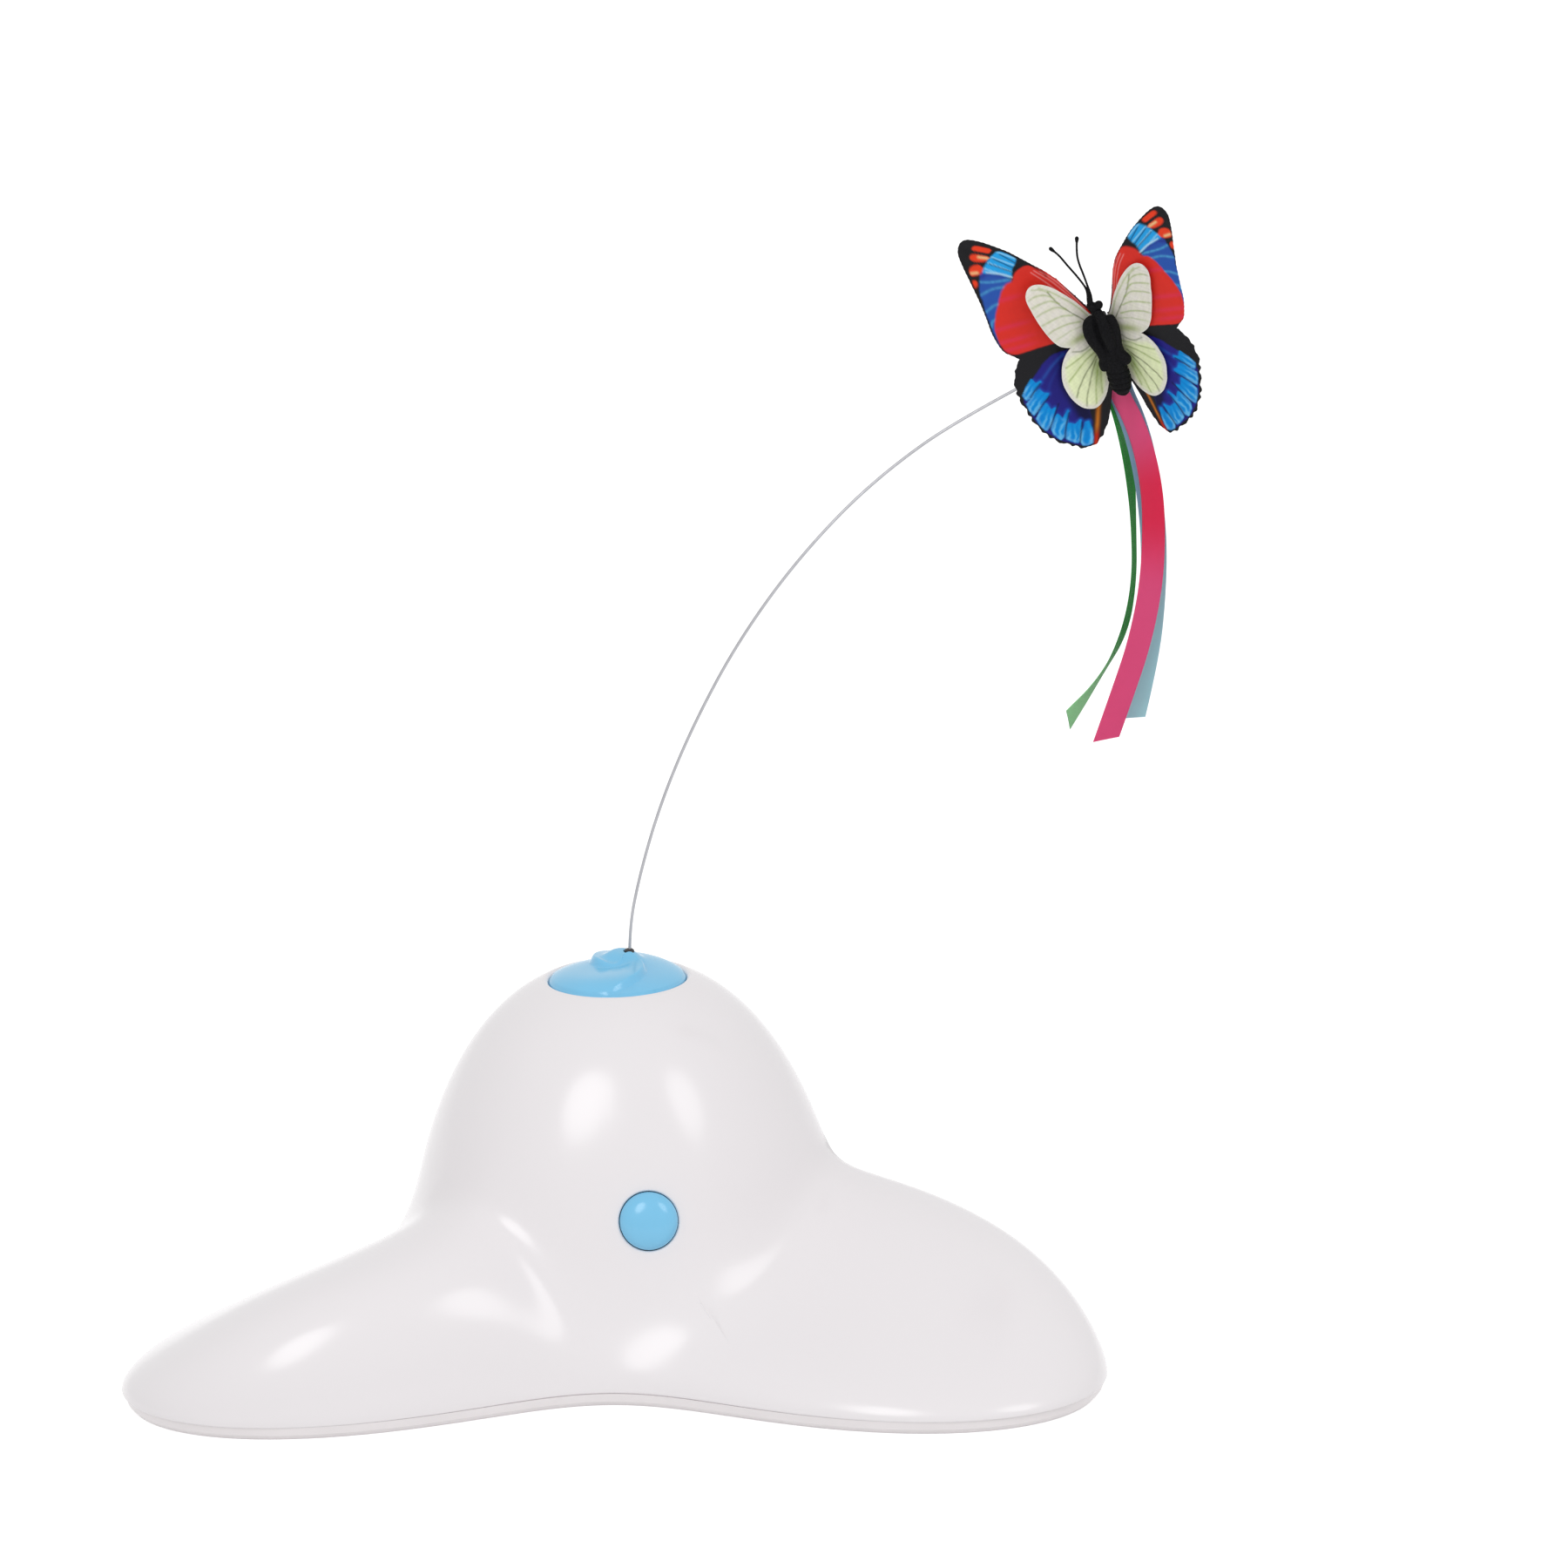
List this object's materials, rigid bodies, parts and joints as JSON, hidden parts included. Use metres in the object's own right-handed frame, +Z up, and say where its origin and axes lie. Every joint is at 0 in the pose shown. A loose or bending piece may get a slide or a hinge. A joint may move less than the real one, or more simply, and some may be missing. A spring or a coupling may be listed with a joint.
{
  "type": "electric butterfly cat toy",
  "caption": "Three lobed battery base with a geared turntable that swings a springy wire wand, a film butterfly and ribbon tails round for a cat.",
  "frame": {"origin": "on the rest plane, on the turntable's spin axis", "axes": "+Z up along the spin axis, the push button faces -Y"},
  "size_m": [0.2384, 0.1972, 0.2481],
  "materials": {
    "shell_white": "glossy white moulded plastic",
    "cover_white": "satin white moulded plastic",
    "sky_blue": "satin sky blue plastic",
    "pad_grey": "soft grey rubber",
    "screw_steel": "plated steel",
    "wire_steel": "drawn spring steel",
    "gear_acetal": "ivory gear plastic",
    "gearbox_grey": "grey gearbox plastic",
    "bush_brass": "turned brass",
    "magnet_dark": "dark sintered magnet",
    "cap_black": "black moulded plastic",
    "board_green": "green circuit board",
    "cell_label": "plain dark cell sleeve",
    "lead_red": "red insulated lead",
    "lead_black": "black insulated lead",
    "body_black": "matte black foam",
    "outer_film": "printed wing film, red, blue and black",
    "inner_film": "printed wing film, cream with green veins",
    "pink_satin": "pink satin ribbon",
    "blue_satin": "pale blue satin ribbon",
    "green_satin": "green satin ribbon"
  },
  "bodies": {
    "base": {"top_shell": "shell_white", "bottom_cover": "cover_white", "rubber_pad_left": "pad_grey", "rubber_pad_right": "pad_grey", "rubber_pad_rear": "pad_grey", "casing_screws": "screw_steel", "gearbox_lower": "gearbox_grey", "gearbox_upper": "gearbox_grey", "gearbox_screws": "screw_steel", "gearbox_mount_screws": "screw_steel", "shaft_bush": "bush_brass", "first_gear_pin": "screw_steel", "second_gear_pin": "screw_steel", "motor_can": "screw_steel", "motor_end_cap": "cap_black", "motor_terminals": "bush_brass", "motor_magnets": "magnet_dark", "motor_screws": "screw_steel", "circuit_board": "board_green", "board_screws": "screw_steel", "controller_chip": "cap_black", "switch_body": "cap_black", "battery_cell_left": "cell_label", "battery_cell_middle": "cell_label", "battery_cell_right": "cell_label", "contact_springs": "screw_steel", "contact_plates": "screw_steel", "battery_lead_red": "lead_red", "battery_lead_black": "lead_black", "motor_lead_red": "lead_red", "motor_lead_black": "lead_black"},
    "turntable": {"turntable": "sky_blue", "output_shaft": "screw_steel", "output_gear": "gear_acetal"},
    "second_gear": {"second_gear": "gear_acetal"},
    "first_gear": {"first_gear": "gear_acetal"},
    "rotor": {"motor_shaft": "screw_steel", "motor_pinion": "bush_brass", "motor_armature": "magnet_dark"},
    "button": {"push_button": "sky_blue", "switch_plunger": "gear_acetal"},
    "door": {"battery_door": "cover_white", "battery_door_screw": "screw_steel"},
    "wand": {"wand_plug": "cap_black", "wand_wire": "wire_steel"},
    "butterfly": {"butterfly_body": "body_black", "antennae": "body_black", "wire_sleeve": "screw_steel", "ribbon_binding": "body_black", "pink_ribbon": "pink_satin", "blue_ribbon": "blue_satin", "green_ribbon": "green_satin"},
    "left_wings": {"left_outer_wing": "outer_film", "left_inner_wing": "inner_film"},
    "right_wings": {"right_outer_wing": "outer_film", "right_inner_wing": "inner_film"}
  },
  "joints": [
    {"name": "turntable_spin", "type": "hinge", "parent": "base", "child": "turntable", "pos_m": [0, 0, 0.075], "axis": [0, 0, 1], "continuous": true},
    {"name": "second_gear_spin", "type": "hinge", "parent": "base", "child": "second_gear", "pos_m": [-0.01155, 0, 0.0575], "axis": [0, 0, 1], "continuous": true},
    {"name": "first_gear_spin", "type": "hinge", "parent": "base", "child": "first_gear", "pos_m": [-0.00667, 0.01047, 0.0575], "axis": [0, 0, 1], "continuous": true},
    {"name": "motor_spin", "type": "hinge", "parent": "base", "child": "rotor", "pos_m": [0.00335, 0.01514, 0.04], "axis": [0, 0, 1], "continuous": true},
    {"name": "button_press", "type": "slide", "parent": "base", "child": "button", "axis": [0, 0.9659, -0.2588], "range_m": [0, 0.002], "stiffness_N_per_m": 600, "springref_m": -0.001},
    {"name": "battery_door_hinge", "type": "hinge", "parent": "base", "child": "door", "pos_m": [0, 0.03275, 0.0018], "axis": [1, 0, 0], "range_deg": [0, 80]},
    {"name": "wand_pull", "type": "slide", "parent": "turntable", "child": "wand", "axis": [0, 0, 1], "range_m": [0, 0.008]},
    {"name": "wand_flex", "type": "hinge", "parent": "wand", "child": "butterfly", "pos_m": [0.0075, 0.0025, 0.104], "axis": [0, 1, 0], "range_deg": [-12, 18], "stiffness_Nm_per_rad": 0.05, "springref_deg": -1.72, "deforming": ["wand_wire"]},
    {"name": "left_wing_flap", "type": "hinge", "parent": "butterfly", "child": "left_wings", "pos_m": [0.10861, -0.00051, 0.21723], "axis": [-0.2698, -0.2535, 0.9289], "range_deg": [-10, 8], "stiffness_Nm_per_rad": 0.002},
    {"name": "right_wing_flap", "type": "hinge", "parent": "butterfly", "child": "right_wings", "pos_m": [0.11086, -0.00121, 0.2177], "axis": [-0.2698, -0.2535, 0.9289], "range_deg": [-8, 10], "stiffness_Nm_per_rad": 0.002}
  ],
  "couplings": [
    {"joint": "second_gear_spin", "follows": "turntable_spin", "ratio": -3.6},
    {"joint": "first_gear_spin", "follows": "turntable_spin", "ratio": 12.96},
    {"joint": "motor_spin", "follows": "turntable_spin", "ratio": -58.32},
    {"joint": "right_wing_flap", "follows": "left_wing_flap", "ratio": -1}
  ]
}
